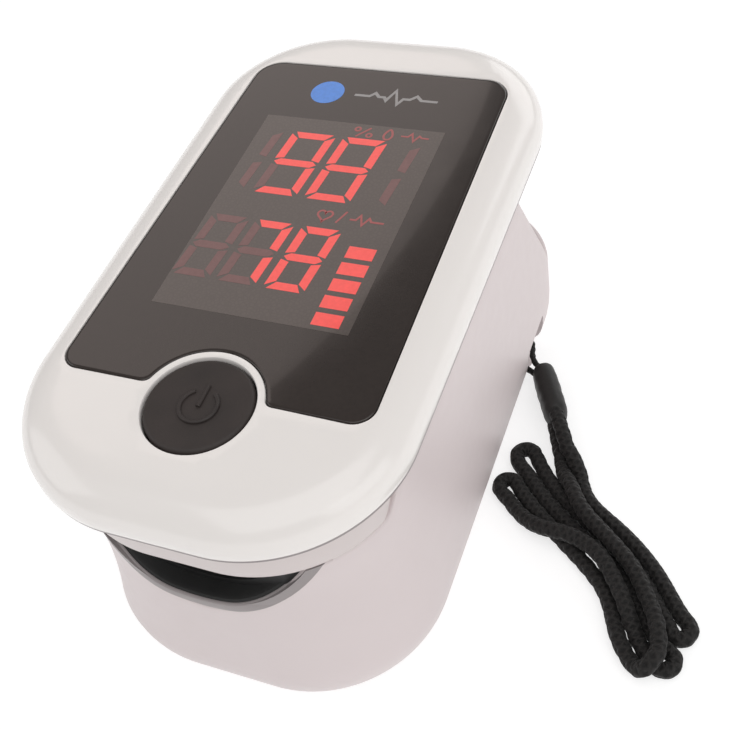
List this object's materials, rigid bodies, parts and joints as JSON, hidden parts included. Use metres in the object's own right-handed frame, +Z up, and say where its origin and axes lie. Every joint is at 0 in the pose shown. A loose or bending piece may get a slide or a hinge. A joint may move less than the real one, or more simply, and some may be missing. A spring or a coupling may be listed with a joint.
{
  "type": "fingertip pulse oximeter",
  "caption": "Clip-shaped fingertip pulse oximeter with a hinged jaw, numeral display, round power button, battery door and corded wrist lanyard.",
  "frame": {"origin": "on the table, under the middle of the casing", "axes": "+X to the wearer's right, +Y towards the hinge and squeeze end, away from the finger mouth, +Z up through the display"},
  "size_m": [0.0568, 0.062, 0.031],
  "materials": {
    "cover_white": "satin gloss",
    "tray_white": "satin",
    "shell_pale": "satin gloss",
    "tray_grey": "satin",
    "silicone_black": "matt silicone",
    "window_black": "polished",
    "display_block": "satin",
    "segment_lit": "lit",
    "segment_dim": "unlit",
    "button_rubber": "matt",
    "plunger_red": "matt",
    "circuit_board": "solder mask",
    "chip_black": "moulded",
    "emitter_body": "clear",
    "clear_window": "clear",
    "cell_wrap": "printed wrap",
    "spring_steel": "plated",
    "string_black": "twisted",
    "sleeve_black": "matt shrink tube",
    "cord_black": "braided"
  },
  "bodies": {
    "lower_half": {"bottom_cover": "shell_pale", "lower_tray": "tray_grey", "lower_pad": "silicone_black", "sensor_board": "circuit_board", "photodiode": "chip_black", "detector_window": "clear_window", "battery_left": "cell_wrap", "battery_right": "cell_wrap", "battery_springs": "spring_steel", "battery_plates": "spring_steel", "case_screws": "spring_steel", "hinge_pin": "spring_steel", "torsion_springs": "spring_steel", "lanyard_string": "string_black", "lanyard_sleeve": "sleeve_black", "lanyard_leads": "cord_black", "lanyard_hank": "cord_black"},
    "upper_half": {"top_cover": "cover_white", "upper_tray": "tray_white", "upper_pad": "silicone_black", "main_board": "circuit_board", "processor": "chip_black", "signal_amplifier": "chip_black", "led_display": "display_block", "lit_segments": "segment_lit", "dim_segments": "segment_dim", "display_window": "window_black", "light_emitter": "emitter_body", "emitter_window": "clear_window", "buzzer": "chip_black", "tact_switch": "spring_steel", "cover_screws": "spring_steel"},
    "door": {"battery_door": "shell_pale"},
    "button": {"power_button": "button_rubber"},
    "plunger": {"switch_plunger": "plunger_red"}
  },
  "joints": [
    {"name": "jaw_hinge", "type": "hinge", "parent": "lower_half", "child": "upper_half", "pos_m": [0, 0.013, 0.0208], "axis": [-1, 0, 0], "range_deg": [0, 14], "stiffness_Nm_per_rad": 0.06, "springref_deg": -34.38, "deforming": ["torsion_springs"]},
    {"name": "battery_door_slide", "type": "slide", "parent": "lower_half", "child": "door", "axis": [0, 1, 0], "range_m": [0, 0.02]},
    {"name": "power_button_press", "type": "slide", "parent": "upper_half", "child": "button", "axis": [0, 0, -1], "range_m": [0, 0.0005], "stiffness_N_per_m": 2500, "springref_m": -0.0002},
    {"name": "switch_plunger_press", "type": "slide", "parent": "upper_half", "child": "plunger", "axis": [0, 0, -1], "range_m": [0, 0.0005]}
  ],
  "couplings": [
    {"joint": "switch_plunger_press", "follows": "power_button_press", "ratio": 1}
  ]
}
